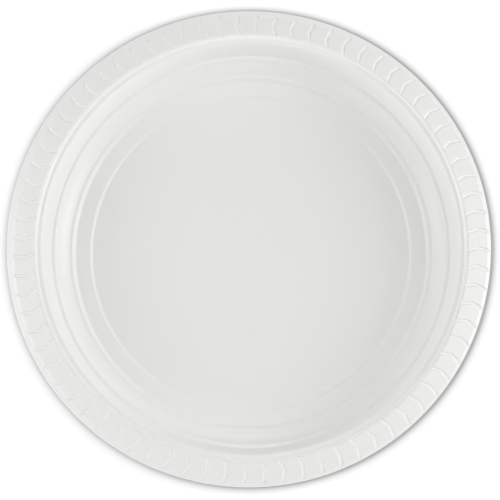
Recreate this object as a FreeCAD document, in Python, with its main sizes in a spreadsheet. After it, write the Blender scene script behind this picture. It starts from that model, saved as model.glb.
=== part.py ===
"""A disposable plastic plate: one sheet, thermoformed and then trimmed round.

Millimetres, +Z up. The origin is on the table, on the axis of the pressed shape. The sheet's
section is drawn as its upper face and, one sheet thickness below, its underside, and is turned
about Z. A trimming cut a little off that axis gives the outer edge. Chevron grooves are pressed
across the rim, so each one is a groove above and a rib below.
"""
import FreeCAD, Part
import math
import os

import Sketcher

SIZES = {
    "plate_diameter": 220.0,
    "plate_height": 21.8,
    "sheet_thickness": 0.35,
    # each fold's radius on its hollow side; the fine folds are those at the rim's inner edge
    "fold_radius": 0.55,
    "fine_fold_radius": 0.12,
    # the step round the flat floor, and the band outside it
    "floor_step_width": 1.3,
    "floor_step_rise": 0.75,
    "band_width": 6.5,
    "band_rise": 0.55,
    # the step and the narrow ledge at the foot of the wall
    "foot_step_width": 1.4,
    "foot_step_rise": 1.65,
    "foot_ledge_width": 1.3,
    "foot_ledge_rise": 0.25,
    # the curved lower wall and the ledge above it
    "lower_wall_width": 6.0,
    "lower_wall_rise": 6.35,
    "lower_wall_curve": 13.0,
    "wall_ledge_width": 1.6,
    "wall_ledge_rise": 0.3,
    # the straight upper wall, which rises as far as the plate's height asks
    "upper_wall_width": 3.4,
    # the shoulder at the top of the wall, the riser up to the rim and the ring along its top
    "shoulder_width": 1.8,
    "shoulder_rise": 0.3,
    "riser_width": 1.0,
    "riser_rise": 1.2,
    "ring_width": 0.5,
    "ring_rise": 0.02,
    # the rim: the small step at its inner edge, and its patterned face, which falls outwards
    "rim_step_width": 0.3,
    "rim_step_rise": 0.3,
    "rim_width": 8.7,
    "rim_drop": 1.7,
    # the roll at the rim's outer edge, and the falling flange that the trimming cut leaves; the
    # flange's drop is over its width and the trimming allowance
    "roll_width": 1.1,
    "roll_drop": 0.5,
    "flange_width": 1.5,
    "flange_drop": 1.4,
    "trim_allowance": 2.5,
    "trim_cutter_width": 10.0,
    "trim_shift_x": -1.0,
    "trim_shift_y": 0.6,
    # the chevrons: their sides lean by the side angle from upright, the leans are how far each
    # leg's far end lies behind the point, the groove's cutter starts the lift above the rim and
    # runs on past its ends by the overrun, and the rib's root lies inside the sheet, at that share
    # of its thickness
    "chevron_count": 76,
    "chevron_depth": 0.35,
    "chevron_floor": 0.85,
    "chevron_side_angle": 50.0,
    "chevron_inner_lean": 1.46,
    "chevron_outer_lean": 1.09,
    "chevron_overrun": 0.1,
    "chevron_lift": 0.05,
    "rib_root_share": 0.75,
    "pattern_start_angle": -1.07,
}

# The section's runs from the floor outwards, with the kind and the size of the fold at each
# one's inner end, as seen on the upper face.
RUNS = (
    ("floor_step", "valley", "fold_radius"),
    ("band", "crest", "fold_radius"),
    ("foot_step", "valley", "fold_radius"),
    ("foot_ledge", "crest", "fold_radius"),
    ("lower_wall", "valley", "fold_radius"),
    ("wall_ledge", "crest", "fold_radius"),
    ("upper_wall", "valley", "fold_radius"),
    ("shoulder", "crest", "fold_radius"),
    ("riser", "valley", "fold_radius"),
    ("ring", "crest", "fine_fold_radius"),
    ("rim_step", "valley", "fine_fold_radius"),
    ("rim", "crest", "fine_fold_radius"),
    ("roll", "crest", "fold_radius"),
    ("flange", "valley", "fold_radius"),
)
FALLING_RUNS = ("rim", "roll", "flange")
CURVED_RUN = "lower_wall"
CURVED_RUN_FOLDS = ("lower_wall", "wall_ledge")
START, END, CENTRE = 1, 2, 3
ORIGIN = (-1, START)


def size(name):
    return SIZES[name]


def make_sheet(doc):
    sheet = doc.addObject("Spreadsheet::Sheet", "sizes")
    sheet.Label = "sizes"
    for row, (name, value) in enumerate(SIZES.items(), 1):
        sheet.set("A%d" % row, name)
        sheet.set("B%d" % row, repr(value))
        sheet.setAlias("B%d" % row, name)
    doc.recompute()


def origin_part(body, role):
    return next(part for part in body.Origin.OriginFeatures if part.Role == role)


def new_sketch(body, name, role):
    sketch = body.newObject("Sketcher::SketchObject", name)
    sketch.AttachmentSupport = [(origin_part(body, role), "")]
    sketch.MapMode = "FlatFace"
    return sketch


def value_of(sketch, expression):
    value = sketch.evalExpression(expression)
    return float(getattr(value, "Value", value))


def drive(sketch, expression, kind, *places):
    """Add a dimension of one kind to the sketch and bind it to the sheet's cells."""
    value = value_of(sketch, expression)
    index = sketch.addConstraint(Sketcher.Constraint(kind, *places, value))
    sketch.setExpression("Constraints[%d]" % index, expression)


def join(sketch, first, first_end, second, second_end):
    sketch.addConstraint(Sketcher.Constraint("Coincident", first, first_end, second, second_end))


# ---- the sheet's section ----

def run_slope(name):
    """The width and the signed rise of one run."""
    if name == "upper_wall":
        return size("upper_wall_width"), upper_wall_rise()
    if name == "flange":
        return size("flange_width") + size("trim_allowance"), -size("flange_drop")
    if name in FALLING_RUNS:
        return size(name + "_width"), -size(name + "_drop")
    return size(name + "_width"), size(name + "_rise")


def upper_wall_rise():
    rising = [name for name, _, _ in RUNS if name not in FALLING_RUNS and name != "upper_wall"]
    return size("plate_height") - size("sheet_thickness") - sum(size(n + "_rise") for n in rising)


def upper_corners():
    """The upper face's corners as (radius, height), from the axis outwards."""
    widths = sum(run_slope(name)[0] for name, _, _ in RUNS)
    reach = size("plate_diameter") / 2 + size("trim_allowance")
    corners = [(0.0, size("sheet_thickness")), (reach - widths, size("sheet_thickness"))]
    for name, _, _ in RUNS:
        width, rise = run_slope(name)
        radius, height = corners[-1]
        corners.append((radius + width, height + rise))
    return corners


def lower_corners(upper):
    """The underside's corners: the meeting points of the upper face's lines moved down."""
    thickness = size("sheet_thickness")
    headings = [math.atan2(b[1] - a[1], b[0] - a[0]) for a, b in zip(upper, upper[1:])]
    lower = [(0.0, 0.0)]
    for corner, before, after in zip(upper[1:-1], headings, headings[1:]):
        middle = (before + after) / 2
        reach = thickness / math.cos((after - before) / 2)
        lower.append((corner[0] + reach * math.sin(middle), corner[1] - reach * math.cos(middle)))
    last = upper[-1]
    lower.append((last[0], last[1] - thickness / math.cos(headings[-1])))
    return lower


def arc_between(start, end, radius):
    """The hollow arc from start up to end, with its centre above and inside it."""
    chord = math.dist(start, end)
    height = math.sqrt(radius ** 2 - chord ** 2 / 4)
    across = ((end[0] - start[0]) / chord, (end[1] - start[1]) / chord)
    centre = FreeCAD.Vector((start[0] + end[0]) / 2 - height * across[1],
                            (start[1] + end[1]) / 2 + height * across[0], 0)
    circle = Part.Circle(centre, FreeCAD.Vector(0, 0, 1), radius)
    angles = [math.atan2(p[1] - centre.y, p[0] - centre.x) for p in (start, end)]
    return Part.ArcOfCircle(circle, angles[0], angles[1])


def draw_face(sketch, corners, curve_radius):
    """Draw one face of the sheet as joined lines and the wall's arc; gives their numbers."""
    names = ["floor"] + [name for name, _, _ in RUNS]
    edges = []
    for name, start, end in zip(names, corners, corners[1:]):
        if name == CURVED_RUN:
            shape = arc_between(start, end, curve_radius)
        else:
            shape = Part.LineSegment(FreeCAD.Vector(*start, 0), FreeCAD.Vector(*end, 0))
        edges.append(sketch.addGeometry(shape, False))
    for first, second in zip(edges, edges[1:]):
        join(sketch, first, END, second, START)
    return dict(zip(names, edges))


def section_sketch(body):
    sketch = new_sketch(body, "section", "XZ_Plane")
    corners = upper_corners()
    curve = size("lower_wall_curve")
    upper = draw_face(sketch, corners, curve)
    lower = draw_face(sketch, lower_corners(corners), curve + size("sheet_thickness"))
    size_upper_face(sketch, upper)
    size_underside(sketch, upper, lower)
    for edges in (upper, lower):
        sketch.addConstraint(Sketcher.Constraint("PointOnObject", edges["floor"], START, -2))
    close_face(sketch, lower["floor"], upper["floor"], START)
    outer_end = close_face(sketch, upper["flange"], lower["flange"], END)
    sketch.addConstraint(Sketcher.Constraint("Vertical", outer_end))
    round_straight_folds(sketch, upper, lower)
    return sketch, upper, lower


def close_face(sketch, first, second, ends):
    """Join two edges' ends by a line."""
    points = [sketch.getPoint(edge, ends) for edge in (first, second)]
    closing = sketch.addGeometry(Part.LineSegment(*points), False)
    join(sketch, first, ends, closing, START)
    join(sketch, second, ends, closing, END)
    return closing


def size_upper_face(sketch, upper):
    floor = upper["floor"]
    sketch.addConstraint(Sketcher.Constraint("Horizontal", floor))
    drive(sketch, "sizes.sheet_thickness", "DistanceY", *ORIGIN, floor, END)
    drive(sketch, "sizes.plate_diameter / 2 - sizes.flange_width",
          "DistanceX", *ORIGIN, upper["flange"], START)
    drive(sketch, "sizes.plate_diameter / 2 + sizes.trim_allowance",
          "DistanceX", *ORIGIN, upper["flange"], END)
    drive(sketch, "sizes.plate_height", "DistanceY", *ORIGIN, upper["rim"], START)
    for name, _, _ in RUNS:
        edge = upper[name]
        if name != "flange":
            drive(sketch, "sizes.%s_width" % name, "DistanceX", edge, START, edge, END)
        if name in FALLING_RUNS:
            drive(sketch, "sizes.%s_drop" % name, "DistanceY", edge, END, edge, START)
        elif name != "upper_wall":
            drive(sketch, "sizes.%s_rise" % name, "DistanceY", edge, START, edge, END)
    drive(sketch, "sizes.lower_wall_curve", "Radius", upper[CURVED_RUN])


def size_underside(sketch, upper, lower):
    """Keep each line of the underside one sheet thickness below its partner."""
    for name, edge in lower.items():
        partner = upper[name]
        if name == CURVED_RUN:
            join(sketch, edge, CENTRE, partner, CENTRE)
            drive(sketch, "sizes.lower_wall_curve + sizes.sheet_thickness", "Radius", edge)
        else:
            sketch.addConstraint(Sketcher.Constraint("Parallel", edge, partner))
            drive(sketch, "sizes.sheet_thickness", "Distance", partner, START, edge)


def fold_rounds(fold_size, kind):
    """A fold's radius on the upper face and on the underside; its full side wraps the sheet."""
    hollow = "sizes.%s" % fold_size
    full = hollow + " + sizes.sheet_thickness"
    return (hollow, full) if kind == "valley" else (full, hollow)


def round_straight_folds(sketch, upper, lower):
    """Round every fold between two straight runs; those of the curved run follow as fillets."""
    for name, kind, fold_size in RUNS:
        if name in CURVED_RUN_FOLDS:
            continue
        for edges, radius in zip((upper, lower), fold_rounds(fold_size, kind)):
            arc = sketch.GeometryCount
            sketch.fillet(edges[name], START, value_of(sketch, radius), True, True)
            drive(sketch, radius, "Radius", arc)


# ---- turning, folding and trimming ----

def turn_section(body, sketch):
    turned = body.newObject("PartDesign::Revolution", "pressed_sheet")
    turned.Profile = sketch
    turned.ReferenceAxis = (sketch, ["V_Axis"])
    turned.Angle = 360
    sketch.Document.recompute()
    return turned


def round_folds(body, base, name, circles, expression):
    """Fillet the circular edges of the base that lie at the given radii and heights."""
    found = []
    for number, edge in enumerate(base.Shape.Edges, 1):
        if not isinstance(edge.Curve, Part.Circle):
            continue
        place = (edge.Curve.Radius, edge.Curve.Center.z)
        if any(math.dist(place, circle) < 1e-3 for circle in circles):
            found.append("Edge%d" % number)
    if len(found) != len(circles):
        raise RuntimeError("%s: %d folds, %d edges" % (name, len(circles), len(found)))
    fillet = body.newObject("PartDesign::Fillet", name)
    fillet.Base = (base, found)
    fillet.setExpression("Radius", expression)
    body.Document.recompute()
    return fillet


def round_curved_run_folds(body, base, sketch, upper, lower):
    """Fillet the folds at both ends of the curved run, on both faces of the sheet."""
    circles = {}
    for name, kind, fold_size in RUNS:
        if name not in CURVED_RUN_FOLDS:
            continue
        for edges, radius in zip((upper, lower), fold_rounds(fold_size, kind)):
            point = sketch.getPoint(edges[name], START)
            circles.setdefault(radius, []).append((point.x, point.y))
    for number, (radius, places) in enumerate(circles.items(), 1):
        base = round_folds(body, base, "curved_run_folds_%d" % number, places, radius)
    return base


def trim_edge(body):
    """Cut away all that lies outside a circle a little off the pressed shape's axis."""
    sketch = new_sketch(body, "trim_circles", "XY_Plane")
    centre = FreeCAD.Vector(size("trim_shift_x"), size("trim_shift_y"), 0)
    circles = []
    for radius in ("sizes.plate_diameter / 2",
                   "sizes.plate_diameter / 2 + sizes.trim_cutter_width"):
        circle = Part.Circle(centre, FreeCAD.Vector(0, 0, 1), value_of(sketch, radius))
        circles.append(sketch.addGeometry(circle, False))
        drive(sketch, radius, "Radius", circles[-1])
    join(sketch, circles[0], CENTRE, circles[1], CENTRE)
    for kind, shift in (("DistanceX", "trim_shift_x"), ("DistanceY", "trim_shift_y")):
        drive(sketch, "sizes.%s" % shift, kind, *ORIGIN, circles[0], CENTRE)
    cut = body.newObject("PartDesign::Pocket", "trimming_cut")
    cut.Profile = sketch
    cut.Type = "ThroughAll"
    cut.Reversed = True
    body.Document.recompute()


# ---- the chevrons ----

RIM_SLOPE = "atan(sizes.rim_drop / sizes.rim_width)"
RIM_LENGTH = "sqrt(sizes.rim_width ^ 2 + sizes.rim_drop ^ 2)"
RIM_RADIUS = "(sizes.plate_diameter / 2 - sizes.flange_width - sizes.roll_width - sizes.rim_width)"
# The slope of the sheet past the rim's inner and outer edges, and how much steeper that is than
# the rim's own plane.
INNER_EDGE = ("sizes.rim_step_rise / sizes.rim_step_width",
              "(sizes.rim_step_rise / sizes.rim_step_width + sizes.rim_drop / sizes.rim_width)")
OUTER_EDGE = ("sizes.roll_drop / sizes.roll_width",
              "(sizes.roll_drop / sizes.roll_width - sizes.rim_drop / sizes.rim_width)")


def chevron_sketch(body, name, level, half_width, inner_end, outer_end):
    """A chevron's outline on a plane parallel to the rim's face and the given level below it.

    Its own x runs down the rim from the rim's inner edge, and y runs round the rim.
    """
    sketch = new_sketch(body, name, "XY_Plane")
    slope = math.degrees(math.atan(size("rim_drop") / size("rim_width")))
    sketch.AttachmentOffset = FreeCAD.Placement(FreeCAD.Vector(),
                                                FreeCAD.Rotation(FreeCAD.Vector(0, 1, 0), slope))
    sketch.setExpression("AttachmentOffset.Rotation.Angle", RIM_SLOPE)
    sketch.setExpression("AttachmentOffset.Base.x", RIM_RADIUS)
    sketch.setExpression("AttachmentOffset.Base.z",
                         "sizes.plate_height - (%s) / cos(%s)" % (level, RIM_SLOPE))
    length = math.hypot(size("rim_width"), size("rim_drop"))
    spine = [(0.0, -size("chevron_inner_lean")), (length / 2, 0.0),
             (length, -size("chevron_outer_lean"))]
    legs = draw_line(sketch, spine, construction=True)
    for leg, leg_end, lean in ((legs[0], START, "inner"), (legs[1], END, "outer")):
        drive(sketch, "sizes.chevron_%s_lean" % lean, "DistanceY", leg, leg_end, *ORIGIN)
    drive(sketch, RIM_LENGTH + " / 2", "DistanceX", *ORIGIN, legs[1], START)
    drive(sketch, RIM_LENGTH, "DistanceX", *ORIGIN, legs[1], END)
    sketch.addConstraint(Sketcher.Constraint("PointOnObject", legs[0], START, -2))
    sketch.addConstraint(Sketcher.Constraint("PointOnObject", legs[1], START, -1))
    inner, outer = value_of(sketch, inner_end), value_of(sketch, outer_end)
    sides = []
    for shift in (value_of(sketch, half_width), -value_of(sketch, half_width)):
        edges = draw_line(sketch, [(-inner, spine[0][1] + shift), (length / 2, shift),
                                   (length + outer, spine[2][1] + shift)])
        for edge, leg in zip(edges, legs):
            sketch.addConstraint(Sketcher.Constraint("Parallel", edge, leg))
            drive(sketch, half_width, "Distance", legs[1], START, edge)
        drive(sketch, inner_end, "DistanceX", edges[0], START, *ORIGIN)
        drive(sketch, outer_end, "DistanceX", legs[1], END, edges[1], END)
        sides.append(edges)
    for leg, leg_end in ((0, START), (1, END)):
        close_face(sketch, sides[0][leg], sides[1][leg], leg_end)
    return sketch


def draw_line(sketch, points, construction=False):
    edges = []
    for start, end in zip(points, points[1:]):
        line = Part.LineSegment(FreeCAD.Vector(*start, 0), FreeCAD.Vector(*end, 0))
        edges.append(sketch.addGeometry(line, construction))
    for first, second in zip(edges, edges[1:]):
        join(sketch, first, END, second, START)
    return edges


def chevron_loft(body, kind, name, levels, half_width_at, end_at):
    """A chevron with sloping sides, between its outlines on two levels."""
    outlines = [chevron_sketch(body, "%s_%s" % (name, place), level, half_width_at(level),
                               end_at(*INNER_EDGE), end_at(*OUTER_EDGE))
                for place, level in zip(("foot", "mouth"), levels)]
    loft = body.newObject(kind, name)
    loft.Profile = outlines[0]
    loft.Sections = [outlines[1]]
    loft.Ruled = True
    body.Document.recompute()
    return loft


def press_chevrons(body):
    """Add a rib under the rim, cut its groove from above, and repeat both round the rim."""
    spread = "tan(sizes.chevron_side_angle * 1deg)"
    rib_foot = "sizes.sheet_thickness + sizes.chevron_depth"
    rib_root = "sizes.sheet_thickness * sizes.rib_root_share"

    def groove_half_width(level):
        return "sizes.chevron_floor / 2 + (sizes.chevron_depth - (%s)) * %s" % (level, spread)

    def rib_half_width(level):
        return groove_half_width(level) + (
            " + sizes.sheet_thickness / cos(sizes.chevron_side_angle * 1deg)")

    def groove_end(slope, fall):
        """Where the groove's floor comes out through the sloping sheet, and a little more."""
        return "sizes.chevron_depth / %s + sizes.chevron_overrun" % fall

    def rib_end(slope, fall):
        """Where the middle of the rib's end lies in the middle of the sloping sheet."""
        return "(%s + %s - sizes.sheet_thickness / cos(atan(%s))) / 2 / %s" % (
            rib_foot, rib_root, slope, fall)

    rib = chevron_loft(body, "PartDesign::AdditiveLoft", "rib", (rib_foot, rib_root),
                       rib_half_width, rib_end)
    groove = chevron_loft(body, "PartDesign::SubtractiveLoft", "groove",
                          ("sizes.chevron_depth", "-sizes.chevron_lift"), groove_half_width,
                          groove_end)
    ring = body.newObject("PartDesign::PolarPattern", "chevrons")
    ring.Originals = [rib, groove]
    ring.Axis = (origin_part(body, "Z_Axis"), [""])
    ring.Angle = 360
    ring.setExpression("Occurrences", "sizes.chevron_count")
    body.Tip = ring
    body.Document.recompute()


# ---- the plate ----

def make_plate(doc):
    body = doc.addObject("PartDesign::Body", "plate")
    body.Label = "plate"
    sketch, upper, lower = section_sketch(body)
    pressed = turn_section(body, sketch)
    round_curved_run_folds(body, pressed, sketch, upper, lower)
    trim_edge(body)
    press_chevrons(body)
    body.Placement = FreeCAD.Placement(
        FreeCAD.Vector(), FreeCAD.Rotation(FreeCAD.Vector(0, 0, 1), size("pattern_start_angle")))
    return body


def check_document(doc):
    doc.recompute()
    for item in doc.Objects:
        if "Invalid" in item.State or "Error" in item.State:
            raise RuntimeError("%s failed: %s" % (item.Name, item.State))


def check_shape(body):
    shape = body.Shape
    if shape.isNull() or not shape.isValid() or len(shape.Solids) != 1:
        raise RuntimeError("%s is not one valid solid" % body.Label)


def main():
    doc = FreeCAD.newDocument("disposable_plate")
    make_sheet(doc)
    plate = make_plate(doc)
    check_document(doc)
    check_shape(plate)
    os.makedirs("parts", exist_ok=True)
    plate.Shape.exportStep("parts/%s.step" % plate.Label)


main()
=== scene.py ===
"""A disposable plastic plate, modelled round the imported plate, and the studio that it lies in.

Metres, +Z up. One sector of the sheet, with one chevron across its rim, is drawn, spun, cut and
pressed; copies of it close the ring, and the sheet is then turned, trimmed and given its thickness.
"""
import math

import bpy
from bpy.props import FloatProperty, FloatVectorProperty, IntProperty, PointerProperty
from mathutils import Matrix, Vector


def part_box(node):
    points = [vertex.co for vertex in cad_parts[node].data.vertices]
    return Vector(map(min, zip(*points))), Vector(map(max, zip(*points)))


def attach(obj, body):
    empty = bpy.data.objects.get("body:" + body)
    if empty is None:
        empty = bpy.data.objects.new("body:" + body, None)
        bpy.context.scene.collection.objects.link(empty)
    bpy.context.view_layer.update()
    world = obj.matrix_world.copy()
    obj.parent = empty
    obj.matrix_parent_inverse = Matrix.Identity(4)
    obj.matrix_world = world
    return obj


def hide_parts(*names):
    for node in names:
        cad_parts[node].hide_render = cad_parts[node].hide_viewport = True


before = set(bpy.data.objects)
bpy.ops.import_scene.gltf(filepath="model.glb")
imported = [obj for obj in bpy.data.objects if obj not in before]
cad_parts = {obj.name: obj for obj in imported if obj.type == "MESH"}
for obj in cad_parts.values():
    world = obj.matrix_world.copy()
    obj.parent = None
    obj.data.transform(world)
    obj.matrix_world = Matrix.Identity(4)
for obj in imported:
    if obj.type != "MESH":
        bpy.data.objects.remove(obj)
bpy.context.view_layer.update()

bl_info = {
    "name": "Disposable plate",
    "version": (1, 0, 0),
    "blender": (4, 5, 0),
    "location": "3D View > Sidebar > Plate",
    "description": "Models a thermoformed plate and the studio that it lies in",
    "category": "Add Mesh",
}

MM = 0.001
PLATE_LOW, PLATE_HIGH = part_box("plate")
TRIM_CENTRE = (PLATE_LOW + PLATE_HIGH) / 2


def run(name, description, width, rise):
    return FloatVectorProperty(name=name, description=description + ": its width and its rise",
                               size=2, default=(width * MM, rise * MM), unit="LENGTH", precision=5)


def length(name, description, default):
    return FloatProperty(name=name, description=description, default=default, unit="LENGTH",
                         precision=5)


def share(name, description, default):
    return FloatProperty(name=name, description=description, default=default, min=0, max=1,
                         subtype="FACTOR")


def power(name, description, default):
    return FloatProperty(name=name, description=description, default=default, min=0, unit="POWER")


def colour(name, description, default):
    return FloatVectorProperty(name=name, description=description, default=default, min=0, max=1,
                               subtype="COLOR")


class PlateSizes(bpy.types.PropertyGroup):
    diameter: length("Diameter", "Across the trimmed edge", PLATE_HIGH.x - PLATE_LOW.x)
    height: length("Height", "From the table to the rim's inner corner", 21.8 * MM)
    sheet: length("Sheet", "The sheet's thickness", 0.35 * MM)
    soft_fold: length("Soft fold", "Hollow radius of the folds", 0.55 * MM)
    fine_fold: length("Fine fold", "Hollow radius of the folds at the rim's inner edge", 0.12 * MM)
    floor_step: run("Floor step", "Step round the floor", 1.3, 0.75)
    band: run("Band", "Band outside the floor", 6.5, 0.55)
    foot_step: run("Foot step", "Step at the foot of the wall", 1.4, 1.65)
    foot_ledge: run("Foot ledge", "Ledge at the foot of the wall", 1.3, 0.25)
    lower_wall: run("Lower wall", "Curved lower wall", 6.0, 6.35)
    lower_wall_curve: length("Lower wall curve", "Radius of the curved wall", 13 * MM)
    wall_ledge: run("Wall ledge", "Ledge between the walls", 1.6, 0.3)
    upper_wall_width: length("Upper wall", "Width of the straight upper wall", 3.4 * MM)
    shoulder: run("Shoulder", "Shoulder at the top of the wall", 1.8, 0.3)
    riser: run("Riser", "Riser up to the rim", 1.0, 1.2)
    ring: run("Ring", "Ring along the top of the riser", 0.5, 0.02)
    rim_step: run("Rim step", "Step at the rim's inner edge", 0.3, 0.3)
    rim: run("Rim", "Patterned face of the rim, which falls outwards", 8.7, -1.7)
    roll: run("Roll", "Roll at the rim's outer edge", 1.1, -0.5)
    flange: run("Flange", "Narrow flange that ends at the trimmed edge", 1.5, -0.525)


class ChevronSizes(bpy.types.PropertyGroup):
    count: IntProperty(name="Count", description="Chevrons round the rim", default=76, min=3)
    depth: length("Depth", "Depth of the groove", 0.35 * MM)
    floor: length("Floor", "Width of the groove's floor", 0.85 * MM)
    side_angle: FloatProperty(name="Side angle", description="Lean of the sides from upright",
                              default=math.radians(50), subtype="ANGLE")
    inner_lean: length("Inner lean", "How far the inner end lies behind the point", 1.46 * MM)
    outer_lean: length("Outer lean", "How far the outer end lies behind the point", 1.09 * MM)
    start: FloatProperty(name="Start", description="Angle of the first chevron's point",
                         default=math.radians(-1.07), subtype="ANGLE")


class PlasticLook(bpy.types.PropertyGroup):
    white: colour("White", "Colour of the plastic", (0.792, 0.792, 0.776))
    thin_white: colour("Thin white", "Colour where the sheet is drawn thin", (0.777, 0.778, 0.761))
    # A lighter colour in the chevrons.
    chevron_white: colour("Pressed white", "Colour of the pressed chevrons", (0.85, 0.85, 0.836))
    # Painted glow along the cut edge, on top of the cut's own whitening.
    cut_white_and_glow: colour("Cut white", "Colour along the cut edge", (0.84, 0.84, 0.826))
    cut_white_and_glow_width: length("Cut width", "Width of the whitened cut edge", 0.5 * MM)
    roughness: share("Roughness", "Roughness of the smooth skin", 0.34)
    scuffed_roughness: share("Scuffed roughness", "Roughness where the skin is dull", 0.46)
    ripple: length("Ripple", "Height of the slow ripple in the skin", 0.03 * MM)
    grain: length("Grain", "Height of the fine grain in the skin", 0.002 * MM)
    crease: length("Crease", "Depth that the skin's relief adds to the chevrons", 0.15 * MM)


class StudioLook(bpy.types.PropertyGroup):
    # The table is mid grey and glows from below; near the plate's edge the glow fades out, which
    # paints a soft shadow round the plate.
    table: colour("Table", "Colour of the table", (0.5, 0.5, 0.5))
    sky: colour("Sky", "Colour of the light from all round", (1.0, 1.0, 1.0))
    sky_strength: share("Sky strength", "Strength of the light from all round", 0.26)
    table_glow: share("Table glow", "Strength of the light through the table", 0.64)
    # The painted shadow's circle is shifted so that it follows the plate's edge as seen from the
    # camera.
    shadow_shift: FloatVectorProperty(name="Shadow shift", size=2, unit="LENGTH", precision=5,
                                      description="How far the soft shadow lies from the plate",
                                      default=(0.8 * MM, 3.5 * MM))
    painted_shadow_reach: length("Shadow reach", "How far the soft shadow stands out", 3.1 * MM)
    painted_shadow_fade: length("Shadow fade", "Over what width the soft shadow fades", 1.8 * MM)
    right_low_power: power("Right low power", "Power of the low right softbox", 2.4)
    right_power: power("Right power", "Power of the right softbox", 3.1)
    right_high_power: power("Right high power", "Power of the high right softbox", 1.25)
    left_low_power: power("Left low power", "Power of the low left softbox", 2.3)
    left_power: power("Left power", "Power of the left softbox", 2.0)
    left_high_power: power("Left high power", "Power of the high left softbox", 1.05)
    front_left_power: power("Front left power", "Power of the front left softbox", 0.8)
    front_power: power("Front power", "Power of the low front softbox", 2.6)
    back_power: power("Back power", "Power of the back softbox", 1.65)
    top_power: power("Top power", "Power of the softbox overhead", 3.4)
    camera_tilt: FloatProperty(name="Camera tilt", description="Its tilt from straight down",
                               default=math.radians(10.2), subtype="ANGLE")
    camera_aim: FloatVectorProperty(name="Camera aim", size=2, unit="LENGTH", precision=5,
                                    description="Where the camera looks, at the rim's height",
                                    default=(-0.4 * MM, -3.2 * MM))
    camera_distance: length("Camera distance", "From there to the camera", 0.715)
    camera_lens: FloatProperty(name="Lens", description="Focal length", default=113.8,
                               unit="CAMERA")


# The section's runs from the floor outwards, each with the fold at its inner end.
RUNS = (
    ("floor_step", "valley", "soft_fold"),
    ("band", "crest", "soft_fold"),
    ("foot_step", "valley", "soft_fold"),
    ("foot_ledge", "crest", "soft_fold"),
    ("lower_wall", "valley", "soft_fold"),
    ("wall_ledge", "crest", "soft_fold"),
    ("upper_wall", "valley", "soft_fold"),
    ("shoulder", "crest", "soft_fold"),
    ("riser", "valley", "soft_fold"),
    ("ring", "crest", "fine_fold"),
    ("rim_step", "valley", "fine_fold"),
    ("rim", "crest", "fine_fold"),
    ("roll", "crest", "soft_fold"),
    ("flange", "valley", "soft_fold"),
)
CURVE_STEPS = 8
FOLD_STEPS = {"soft_fold": 5, "fine_fold": 4}
SECTOR_STEPS = 2
# How near to a place a vertex counts as at it, and how near to each other vertices merge.
AT_PLACE = 0.01 * MM
MERGED = 0.001 * MM
# Edges that turn further than this stay sharp.
SHARP_ANGLE = math.radians(40)
# Where a groove is cut along its length, as shares of its side's width out from the floor's edge,
# and how deep it is there, as shares of its depth. Within the slack of the last one, a vertex
# counts as on it.
GROOVE_ROUNDING = ((-0.15, 1.0), (0.15, 0.88), (0.5, 0.5), (0.85, 0.12), (1.15, 0.0))
ROUNDING_SLACK = 0.01
# How far the edges that keep the groove's bend crisp lie from it.
BEND_EDGE = 0.18 * MM

# Between which shares of the plate's height the sheet gets thinner, and between which shares of
# its depth a groove gets whiter.
THINNER = (0.2, 0.75)
WHITER = (0.4, 1.0)
# Each pattern's features to a metre, and how finely they are broken up.
RIPPLE = {"Scale": 38.0, "Detail": 2.0}
GRAIN = {"Scale": 1400.0, "Detail": 3.0}
SCUFFS = {"Scale": 90.0, "Detail": 5.0}
TOOTH = {"Scale": 900.0, "Detail": 2.0}
# The paper's bump: how strongly it turns the light, and how high its tooth stands.
TOOTH_BUMP = {"Strength": 0.1, "Distance": 0.1 * MM}
PAPER_ROUGHNESS = 0.9
# The colour Mix node's three inputs, and its result.
MIX_SHARE, MIX_FIRST, MIX_SECOND, MIX_RESULT = 0, 6, 7, 2

# Each softbox's side, azimuth and elevation in degrees, and width and height.
SOFTBOXES = (
    ("right_low", 0, 12, (0.5, 0.3)),
    ("right", 0, 25, (0.5, 0.3)),
    ("right_high", 0, 45, (0.5, 0.3)),
    ("left_low", 180, 6, (0.5, 0.15)),
    ("left", 180, 25, (0.5, 0.3)),
    ("left_high", 180, 45, (0.5, 0.3)),
    ("front_left", 225, 20, (0.5, 0.3)),
    ("front", 270, 6, (0.5, 0.15)),
    ("back", 90, 12, (0.5, 0.3)),
    ("top", 90, 88, (1.2, 1.2)),
)
LIGHT_DISTANCE = 1.0
TABLE_WIDTH = 6.0
# How far the table lies under the plate, so that their faces do not share a plane.
TABLE_GAP = 0.02 * MM


# ---- selecting and shaping ----

def deselect_all():
    if bpy.context.object and bpy.context.object.mode != "OBJECT":
        bpy.ops.object.mode_set(mode="OBJECT")
    bpy.ops.object.select_all(action="DESELECT")


def pick(element, test):
    """In edit mode, select only the vertices or faces that pass the test."""
    bpy.ops.mesh.select_mode(type=element)
    bpy.ops.mesh.select_all(action="DESELECT")
    bpy.ops.object.mode_set(mode="OBJECT")
    mesh = bpy.context.object.data
    for part in mesh.vertices if element == "VERT" else mesh.polygons:
        part.select = test(part)
    bpy.ops.object.mode_set(mode="EDIT")


def from_axis(point):
    return math.hypot(point.x, point.y)


def apply_modifier(kind, **settings):
    piece = bpy.context.object
    modifier = piece.modifiers.new(kind.title(), kind)
    for name, value in settings.items():
        setattr(modifier, name, value)
    bpy.ops.object.modifier_apply(modifier=modifier.name)


# ---- the sheet's section ----

def run_size(sizes, name):
    """The width and the signed rise of a run."""
    if name != "upper_wall":
        return tuple(getattr(sizes, name))
    rising = [getattr(sizes, run_name)[1] for run_name, _, _ in RUNS if run_name != "upper_wall"]
    return sizes.upper_wall_width, sizes.height - sizes.sheet - sum(r for r in rising if r > 0)


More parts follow.
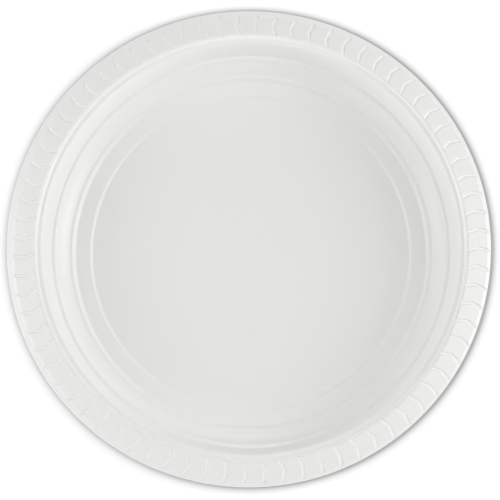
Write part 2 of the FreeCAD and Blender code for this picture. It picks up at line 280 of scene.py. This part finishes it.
def section_corners(sizes):
    """The upper face's corners as (radius, height): the floor's centre, then each run's inner
    end, then the flange's outer end."""
    runs = [run_size(sizes, name) for name, _, _ in RUNS]
    radius = sizes.diameter / 2 - sum(width for width, _ in runs)
    height = sizes.sheet
    corners = [(0.0, height), (radius, height)]
    for width, rise in runs:
        radius += width
        height += rise
        corners.append((radius, height))
    return corners


def curve_between(start, end, radius):
    """Points on the hollow arc from start up to end, and the two slopes at its ends."""
    chord = math.dist(start, end)
    heading = math.atan2(end[1] - start[1], end[0] - start[0])
    half = math.asin(chord / 2 / radius)
    points = []
    for step in range(1, CURVE_STEPS):
        turn = heading - half + 2 * half * step / CURVE_STEPS
        reach = 2 * radius * math.sin(half * step / CURVE_STEPS)
        along = (heading - half + turn) / 2
        points.append((start[0] + reach * math.cos(along), start[1] + reach * math.sin(along)))
    return points, heading - half, heading + half


class Section:
    """The upper face's line, and each fold's corner, how far from it the fold starts, and the
    fold's steps."""

    def __init__(self, sizes):
        corners = section_corners(sizes)
        self.corners = dict(zip([name for name, _, _ in RUNS] + ["edge"], corners[1:]))
        self.points = corners[:1]
        slopes = []
        for name, start, end in zip(["floor"] + [n for n, _, _ in RUNS], corners, corners[1:]):
            slope = math.atan2(end[1] - start[1], end[0] - start[0])
            between, first, last = [], slope, slope
            if name == "lower_wall":
                between, first, last = curve_between(start, end, sizes.lower_wall_curve)
            if name == "rim":
                middle, fall = (start[0] + end[0]) / 2, math.tan(slope)
                between = [(radius, start[1] + fall * (radius - start[0]))
                           for radius in (middle - BEND_EDGE, middle, middle + BEND_EDGE)]
            self.points += between + [end]
            slopes.append((first, last))
        self.folds = []
        for (name, kind, size), before, after in zip(RUNS, slopes, slopes[1:]):
            radius = getattr(sizes, size) + (sizes.sheet if kind == "crest" else 0)
            reach = radius * math.tan(abs(after[0] - before[1]) / 2)
            self.folds.append((self.corners[name], reach, FOLD_STEPS[size]))


def draw_section(section, angle):
    """Draw the section as edges in the upright plane at that angle, and round its folds."""
    places = [Vector((r * math.cos(angle), r * math.sin(angle), z)) for r, z in section.points]
    bpy.ops.mesh.primitive_plane_add(size=MM, location=places[0])
    bpy.ops.object.transform_apply()
    bpy.ops.object.mode_set(mode="EDIT")
    bpy.ops.mesh.select_all(action="SELECT")
    bpy.ops.mesh.merge(type="CENTER")
    for start, end in zip(places, places[1:]):
        bpy.ops.mesh.extrude_region_move(TRANSFORM_OT_translate={"value": end - start})
    for corner, reach, steps in section.folds:
        place = Vector((corner[0] * math.cos(angle), corner[0] * math.sin(angle), corner[1]))
        pick("VERT", lambda vertex: (vertex.co - place).length < AT_PLACE)
        bpy.ops.mesh.bevel(offset_type="OFFSET", offset=reach, segments=steps, profile=0.5,
                           affect="VERTICES")


# ---- the chevron ----

class Groove:
    """One chevron in the sector's own plan: x outwards, y round the rim, the point at y = 0."""

    def __init__(self, section, sizes, chevron):
        inner, outer = section.corners["rim"], section.corners["roll"]
        self.inner, self.outer = inner[0], outer[0]
        self.middle = (inner[0] + outer[0]) / 2
        self.rim_height, self.fall = inner[1], (inner[1] - outer[1]) / (outer[0] - inner[0])
        self.depth, self.half_floor = chevron.depth, chevron.floor / 2
        self.side = chevron.depth * math.tan(chevron.side_angle)
        half_length = (outer[0] - inner[0]) / 2
        # Each leg's inner and outer reach, and its lean round the rim for each metre outwards.
        self.legs = (
            (section.corners["rim_step"][0], self.middle, chevron.inner_lean / half_length),
            (self.middle, outer[0] + sizes.roll[0] / 2, -chevron.outer_lean / half_length),
        )

    def offsets(self):
        """The cut lines' places across the groove, from one side to the other."""
        reaches = [self.half_floor + share_out * self.side for share_out, _ in GROOVE_ROUNDING]
        return [-reach for reach in reaches] + reaches

    def across(self, point):
        """How far a point lies from the groove's middle line, measured round the rim."""
        lean = self.legs[0][2] if point.x < self.middle else self.legs[1][2]
        return abs(point.y - lean * (point.x - self.middle))

    def press(self, point):
        """The point's height once the groove is pressed into the sheet."""
        out = (self.across(point) - self.half_floor) / self.side
        places = [place for place, _ in GROOVE_ROUNDING]
        shares = [depth for _, depth in GROOVE_ROUNDING]
        on_legs = self.legs[0][0] < from_axis(point) < self.legs[1][1]
        if out >= places[-1] - ROUNDING_SLACK or not on_legs:
            return point.z
        sunk = shares[0]
        for low, high, above, below in zip(places, places[1:], shares, shares[1:]):
            if low <= out <= high:
                sunk = above + (below - above) * (out - low) / (high - low)
        face = self.rim_height - self.fall * (from_axis(point) - self.inner)
        return min(point.z, face - self.depth * sunk)


def cut_groove_lines(groove):
    """Cut the sector's rim along the groove, so that it has edges where the groove folds."""
    for low, high, lean in groove.legs:
        normal = Vector((-lean, 1, 0)).normalized()
        for offset in groove.offsets():
            pick("FACE", lambda face: low < from_axis(face.center) < high)
            bpy.ops.mesh.bisect(plane_co=(groove.middle, offset, 0), plane_no=normal)


def press_groove(groove):
    bpy.ops.object.mode_set(mode="OBJECT")
    for vertex in bpy.context.object.data.vertices:
        vertex.co.z = groove.press(vertex.co)
    bpy.ops.object.mode_set(mode="EDIT")


# ---- materials ----

class Value:
    """A shader value: sums written on it add the Math nodes that work them out."""

    def __init__(self, shader, socket):
        self.shader, self.socket = shader, socket

    def math(self, operation, *others):
        return self.shader.add("ShaderNodeMath", {"operation": operation}, self, *others)

    def __add__(self, other):
        return self.math("ADD", other)

    def __mul__(self, other):
        return self.math("MULTIPLY", other)

    def __rsub__(self, other):
        return self.shader.add("ShaderNodeMath", {"operation": "SUBTRACT"}, other, self)

    __radd__, __rmul__ = __add__, __mul__


class Shader:
    """One material's node tree."""

    def __init__(self, name):
        self.material = bpy.data.materials.new(name)
        self.material.use_nodes = True
        self.nodes = self.material.node_tree.nodes
        self.links = self.material.node_tree.links
        self.surface = self.nodes["Principled BSDF"]

    def add(self, kind, settings, *inputs, output=0, **named):
        """Add a node with its settings, then its inputs in order and by name."""
        node = self.nodes.new(kind)
        for name, value in settings.items():
            setattr(node, name, value)
        for place, value in list(enumerate(inputs)) + list(named.items()):
            self.feed(node.inputs[place], value)
        return Value(self, node.outputs[output])

    def feed(self, socket, value):
        if isinstance(value, Value):
            self.links.new(value.socket, socket)
        else:
            socket.default_value = value

    def blend(self, share_of_second, first, second):
        """A colour between two colours, each given as numbers or as another node's output."""
        value = self.add("ShaderNodeMix", {"data_type": "RGBA"}, output=MIX_RESULT)
        sockets = value.socket.node.inputs
        self.feed(sockets[MIX_SHARE], share_of_second)
        for place, colour_given in ((MIX_FIRST, first), (MIX_SECOND, second)):
            if not isinstance(colour_given, Value):
                colour_given = (*colour_given, 1)
            self.feed(sockets[place], colour_given)
        return value

    def noise(self, place, pattern):
        return self.add("ShaderNodeTexNoise", {}, Vector=place, **pattern)

    def finish(self, **inputs):
        for name, value in inputs.items():
            self.feed(self.surface.inputs[name.replace("_", " ")], value)
        return self.material


def reach_from(shader, place, centre=(0, 0, 0)):
    """How far a place lies, in plan, from the upright axis through the centre."""
    shifted = shader.add("ShaderNodeVectorMath", {"operation": "SUBTRACT"}, place, centre)
    flat = shader.add("ShaderNodeVectorMath", {"operation": "MULTIPLY"}, shifted, (1, 1, 0))
    return shader.add("ShaderNodeVectorMath", {"operation": "LENGTH"}, flat, output="Value")


def pressed_depth(shader, reach, height, groove):
    """1 on the floor of the chevrons and 0 off them, found by how far the upper face lies below
    the plain rim."""
    level = groove.rim_height + groove.fall * groove.inner
    sunk = (level - (groove.fall * reach + height)) * (1 / groove.depth)
    within = shader.add("ShaderNodeClamp", {}, sunk)
    on_rim = reach.math("COMPARE", groove.middle, groove.outer - groove.middle)
    facing = shader.add("ShaderNodeNewGeometry", {}, output="Normal")
    lift = shader.add("ShaderNodeSeparateXYZ", {}, facing, output="Z")
    return within * on_rim * lift.math("GREATER_THAN", 0.0)


def plate_plastic(look, sizes, groove):
    """Thermoformed polystyrene: a satin white skin with a slow ripple and a very fine grain. It
    is a little lighter in the chevrons, it has a painted glow along the cut edge on top of the
    cut's own whitening, and its relief deepens the chevrons."""
    shader = Shader("plate_plastic")
    place = shader.add("ShaderNodeTexCoord", {}, output="Object")
    slow = shader.noise(place, RIPPLE)
    fine = shader.noise(place, GRAIN)
    patches = shader.noise(place, SCUFFS)
    height = shader.add("ShaderNodeSeparateXYZ", {}, place, output="Z")
    drawn = shader.add("ShaderNodeMapRange", {"interpolation_type": "SMOOTHSTEP"}, height,
                       THINNER[0] * sizes.height, THINNER[1] * sizes.height)
    sheet = shader.blend(drawn, look.white, look.thin_white)
    edge = sizes.diameter / 2
    # The band along the cut edge, which gets the cut's whitening and a painted glow.
    cut = shader.add("ShaderNodeMapRange", {}, reach_from(shader, place, TRIM_CENTRE),
                     edge - look.cut_white_and_glow_width, edge - look.cut_white_and_glow_width / 2)
    sunk = pressed_depth(shader, reach_from(shader, place), height, groove)
    pressed = shader.add("ShaderNodeMapRange", {"interpolation_type": "SMOOTHSTEP"}, sunk, *WHITER)
    # The skin's white, lighter in the chevrons, with the painted glow along the cut edge.
    white = shader.blend(cut, shader.blend(pressed, sheet, look.chevron_white), look.cut_white_and_glow)
    relief = slow * look.ripple + fine * look.grain + sunk * -look.crease
    normal = shader.add("ShaderNodeBump", {}, Strength=1.0, Distance=1.0, Height=relief)
    roughness = look.roughness + patches * (look.scuffed_roughness - look.roughness)
    return shader.finish(Base_Color=white, Roughness=roughness, Normal=normal)


def table_paper(look):
    """Matt grey paper that glows from below, except near the plate's edge, where the glow fades out
    into a painted soft shadow.
    """
    shader = Shader("table_paper")
    place = shader.add("ShaderNodeTexCoord", {}, output="Object")
    reach = reach_from(shader, place, TRIM_CENTRE + Vector((*look.shadow_shift, 0)))
    edge = (PLATE_HIGH.x - PLATE_LOW.x) / 2 + look.painted_shadow_reach
    # Painted shadow: the glow fades out towards the plate's edge, leaving the grey paper.
    shadow = ((edge - reach) * (1 / look.painted_shadow_fade)).math("EXPONENT").math("MINIMUM", 1.0)
    glow = (1 - shadow) * look.table_glow
    tooth = shader.noise(place, TOOTH)
    normal = shader.add("ShaderNodeBump", {}, Height=tooth, **TOOTH_BUMP)
    return shader.finish(Base_Color=(*look.table, 1), Roughness=PAPER_ROUGHNESS, Normal=normal,
                         Emission_Color=glow, Emission_Strength=1.0)


# ---- operators ----

class PLATE_OT_sheet(bpy.types.Operator):
    """Model the plate as one pressed and trimmed sheet"""
    bl_idname = "plate.sheet"
    bl_label = "Plate"

    def execute(self, context):
        sizes, chevron = context.scene.plate_sizes, context.scene.plate_chevrons
        section = Section(sizes)
        groove = Groove(section, sizes, chevron)
        sector = 2 * math.pi / chevron.count
        step = sector / SECTOR_STEPS
        groove_middle = -chevron.inner_lean / 2 / groove.inner
        deselect_all()
        # A positive angle spins clockwise, seen from above.
        draw_section(section, groove_middle + step / 2)
        bpy.ops.mesh.select_all(action="SELECT")
        bpy.ops.mesh.spin(steps=SECTOR_STEPS, angle=sector, center=(0, 0, 0), axis=(0, 0, 1))
        bpy.ops.mesh.select_all(action="SELECT")
        bpy.ops.mesh.remove_doubles(threshold=MERGED)
        cut_groove_lines(groove)
        press_groove(groove)
        bpy.ops.mesh.select_all(action="SELECT")
        bpy.ops.mesh.spin(steps=chevron.count - 1, angle=2 * math.pi - sector, dupli=True,
                          center=(0, 0, 0), axis=(0, 0, 1))
        bpy.ops.mesh.select_all(action="SELECT")
        bpy.ops.mesh.remove_doubles(threshold=MERGED)
        bpy.ops.object.mode_set(mode="OBJECT")
        plate = context.object
        plate.name = plate.data.name = "plate_sheet"
        plate.data.transform(Matrix.Rotation(chevron.start, 4, "Z"))
        self.trim(section, sizes)
        self.thicken(plate, sizes)
        plate.data.materials.append(plate_plastic(context.scene.plate_plastic, sizes, groove))
        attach(plate, "root")
        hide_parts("plate")
        return {"FINISHED"}

    def trim(self, section, sizes):
        """Move the outer edge along the flange's slope to the trimming circle, which lies a
        little off the axis."""
        inner, outer = section.corners["flange"], section.corners["edge"]
        slope = (outer[1] - inner[1]) / (outer[0] - inner[0])
        for vertex in bpy.context.object.data.vertices:
            if from_axis(vertex.co) > outer[0] - AT_PLACE:
                vertex.co += Vector((TRIM_CENTRE.x, TRIM_CENTRE.y, 0))
                vertex.co.z = inner[1] + slope * (from_axis(vertex.co) - inner[0])

    def thicken(self, plate, sizes):
        bpy.ops.object.mode_set(mode="EDIT")
        bpy.ops.mesh.select_all(action="SELECT")
        bpy.ops.mesh.normals_make_consistent(inside=False)
        bpy.ops.object.mode_set(mode="OBJECT")
        floor = min(plate.data.polygons, key=lambda face: from_axis(face.center))
        if floor.normal.z < 0:
            plate.data.flip_normals()
        apply_modifier("SOLIDIFY", thickness=sizes.sheet, offset=-1, use_even_offset=True,
                       use_quality_normals=True)
        bpy.ops.object.shade_smooth_by_angle(angle=SHARP_ANGLE)
        apply_modifier("WEIGHTED_NORMAL", keep_sharp=True)


class PLATE_OT_studio(bpy.types.Operator):
    """Set up the table, the lights and the camera"""
    bl_idname = "plate.studio"
    bl_label = "Studio"

    def execute(self, context):
        look = context.scene.plate_studio
        self.add_table(look)
        aim = Vector((*look.camera_aim, context.scene.plate_sizes.height))
        for side, azimuth, elevation, size in SOFTBOXES:
            self.add_light(side + "_softbox", getattr(look, side + "_power"), size, azimuth,
                           elevation)
        self.add_world(context, look)
        self.add_camera(context, look, aim)
        context.scene.view_settings.view_transform = "Standard"
        return {"FINISHED"}

    def add_table(self, look):
        deselect_all()
        bpy.ops.mesh.primitive_plane_add(size=TABLE_WIDTH, location=(0, 0, -TABLE_GAP))
        table = bpy.context.object
        table.name = table.data.name = "table"
        bpy.ops.object.transform_apply()
        table.data.materials.append(table_paper(look))

    def add_light(self, name, watts, size, azimuth, elevation):
        """A rectangular softbox that faces the plate, with its place given as seen from it."""
        turn, lift = math.radians(azimuth), math.radians(elevation)
        place = LIGHT_DISTANCE * Vector((math.cos(turn) * math.cos(lift),
                                         math.sin(turn) * math.cos(lift), math.sin(lift)))
        bpy.ops.object.light_add(type="AREA", location=place)
        light = bpy.context.object
        light.name = light.data.name = name
        light.data.shape = "RECTANGLE"
        light.data.size, light.data.size_y = size
        light.data.energy = watts
        light.rotation_euler = place.to_track_quat("Z", "Y").to_euler()

    def add_world(self, context, look):
        world = bpy.data.worlds.new("studio")
        world.use_nodes = True
        background = world.node_tree.nodes["Background"]
        background.inputs["Color"].default_value = (*look.sky, 1)
        background.inputs["Strength"].default_value = look.sky_strength
        context.scene.world = world

    def add_camera(self, context, look, aim):
        back = Vector((0, -math.sin(look.camera_tilt), math.cos(look.camera_tilt)))
        bpy.ops.object.camera_add(location=aim + look.camera_distance * back)
        camera = bpy.context.object
        camera.name = camera.data.name = "camera"
        camera.rotation_euler = back.to_track_quat("Z", "Y").to_euler()
        camera.data.lens = look.camera_lens
        context.scene.camera = camera


class PLATE_PT_panel(bpy.types.Panel):
    """The plate's pieces and its studio"""
    bl_label = "Disposable plate"
    bl_idname = "PLATE_PT_panel"
    bl_space_type = "VIEW_3D"
    bl_region_type = "UI"
    bl_category = "Plate"

    def draw(self, context):
        for operator, group in ((PLATE_OT_sheet, "plate_sizes"),
                                (PLATE_OT_sheet, "plate_chevrons"),
                                (PLATE_OT_sheet, "plate_plastic"),
                                (PLATE_OT_studio, "plate_studio")):
            box = self.layout.box()
            box.operator(operator.bl_idname)
            settings = getattr(context.scene, group)
            for name in settings.__annotations__:
                box.prop(settings, name)


GROUPS = {
    "plate_sizes": PlateSizes,
    "plate_chevrons": ChevronSizes,
    "plate_plastic": PlasticLook,
    "plate_studio": StudioLook,
}
CLASSES = (*GROUPS.values(), PLATE_OT_sheet, PLATE_OT_studio, PLATE_PT_panel)


def register():
    for item in CLASSES:
        bpy.utils.register_class(item)
    for name, group in GROUPS.items():
        setattr(bpy.types.Scene, name, PointerProperty(type=group))


def unregister():
    for name in GROUPS:
        delattr(bpy.types.Scene, name)
    for item in reversed(CLASSES):
        bpy.utils.unregister_class(item)


def main():
    register()
    bpy.ops.plate.sheet()
    bpy.ops.plate.studio()


if __name__ == "__main__":
    main()
